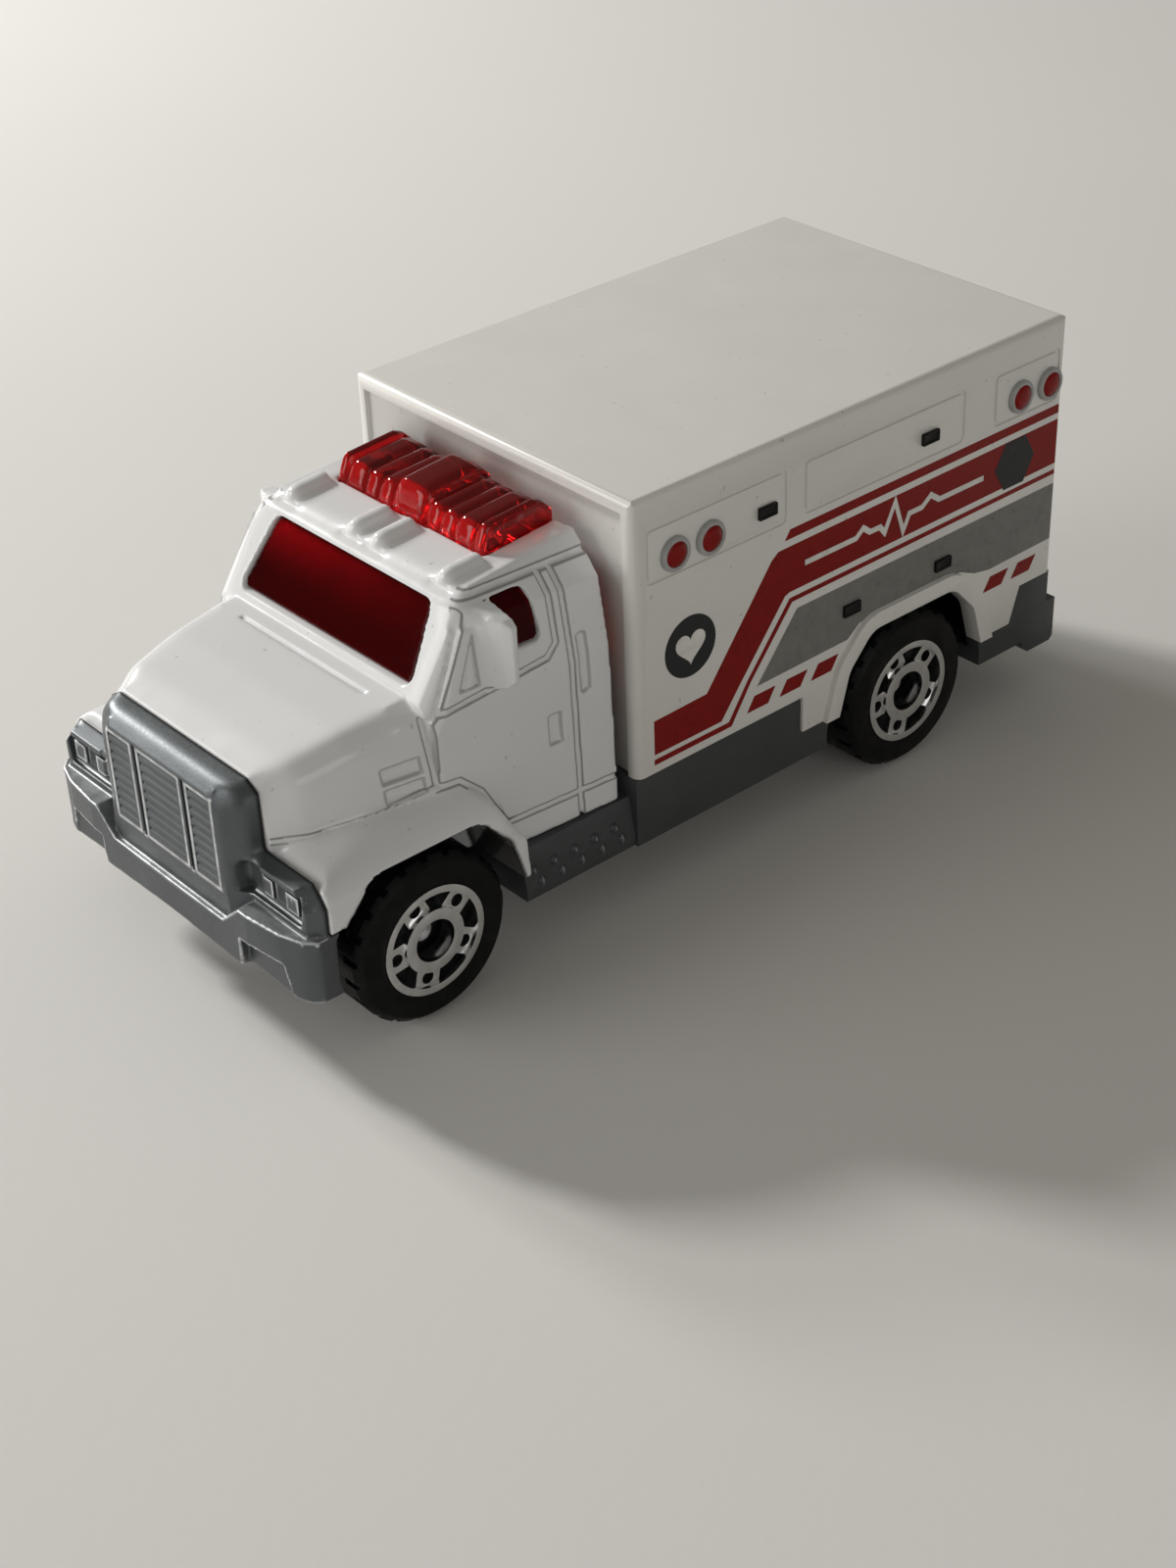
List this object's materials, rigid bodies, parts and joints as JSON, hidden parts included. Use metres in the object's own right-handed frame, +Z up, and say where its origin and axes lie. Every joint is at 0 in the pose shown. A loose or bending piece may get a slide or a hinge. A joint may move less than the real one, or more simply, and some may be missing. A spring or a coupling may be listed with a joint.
{
  "type": "toy ambulance",
  "caption": "Small die-cast toy ambulance: bonneted truck cab with a roof light bar, tall box body, grey grille and base, and free-rolling wheels on through axles.",
  "frame": {"origin": "middle of the bounding box, on the ground under the tyres", "axes": "+X to the vehicle's left side, -Y forwards, +Z up"},
  "size_m": [0.03, 0.0718, 0.031],
  "materials": {
    "white_enamel": "gloss enamel over a zinc casting",
    "white_plastic": "smooth moulded plastic with printed stripes",
    "grey_plastic": "satin dark silver-grey moulding",
    "red_clear_plastic": "clear red moulding",
    "dark_plastic": "satin moulding",
    "steel": "drawn wire and formed heads",
    "black_plastic": "hard black wheel with moulded tread",
    "bright_plating": "bright plated insert"
  },
  "bodies": {
    "body": {"cab_casting": "white_enamel", "box_module": "white_plastic", "chassis_base": "grey_plastic", "front_moulding": "grey_plastic", "window_and_light_bar": "red_clear_plastic", "cab_interior": "dark_plastic", "front_rivet": "steel", "middle_rivet": "steel", "rear_rivet": "steel"},
    "front_axle": {"front_axle": "steel"},
    "rear_axle": {"rear_axle": "steel"},
    "front_left_wheel": {"front_left_tyre": "black_plastic", "front_left_rim": "bright_plating"},
    "front_right_wheel": {"front_right_tyre": "black_plastic", "front_right_rim": "bright_plating"},
    "rear_left_wheel": {"rear_left_tyre": "black_plastic", "rear_left_rim": "bright_plating"},
    "rear_right_wheel": {"rear_right_tyre": "black_plastic", "rear_right_rim": "bright_plating"}
  },
  "joints": [
    {"name": "front_axle_turn", "type": "hinge", "parent": "body", "child": "front_axle", "pos_m": [0, -0.0253, 0.00615], "axis": [1, 0, 0], "continuous": true},
    {"name": "rear_axle_turn", "type": "hinge", "parent": "body", "child": "rear_axle", "pos_m": [0, 0.0191, 0.00615], "axis": [1, 0, 0], "continuous": true},
    {"name": "front_left_wheel_roll", "type": "hinge", "parent": "front_axle", "child": "front_left_wheel", "pos_m": [0.0122, -0.0253, 0.00615], "axis": [1, 0, 0], "continuous": true},
    {"name": "front_right_wheel_roll", "type": "hinge", "parent": "front_axle", "child": "front_right_wheel", "pos_m": [-0.0122, -0.0253, 0.00615], "axis": [1, 0, 0], "continuous": true},
    {"name": "rear_left_wheel_roll", "type": "hinge", "parent": "rear_axle", "child": "rear_left_wheel", "pos_m": [0.0122, 0.0191, 0.00615], "axis": [1, 0, 0], "continuous": true},
    {"name": "rear_right_wheel_roll", "type": "hinge", "parent": "rear_axle", "child": "rear_right_wheel", "pos_m": [-0.0122, 0.0191, 0.00615], "axis": [1, 0, 0], "continuous": true}
  ]
}
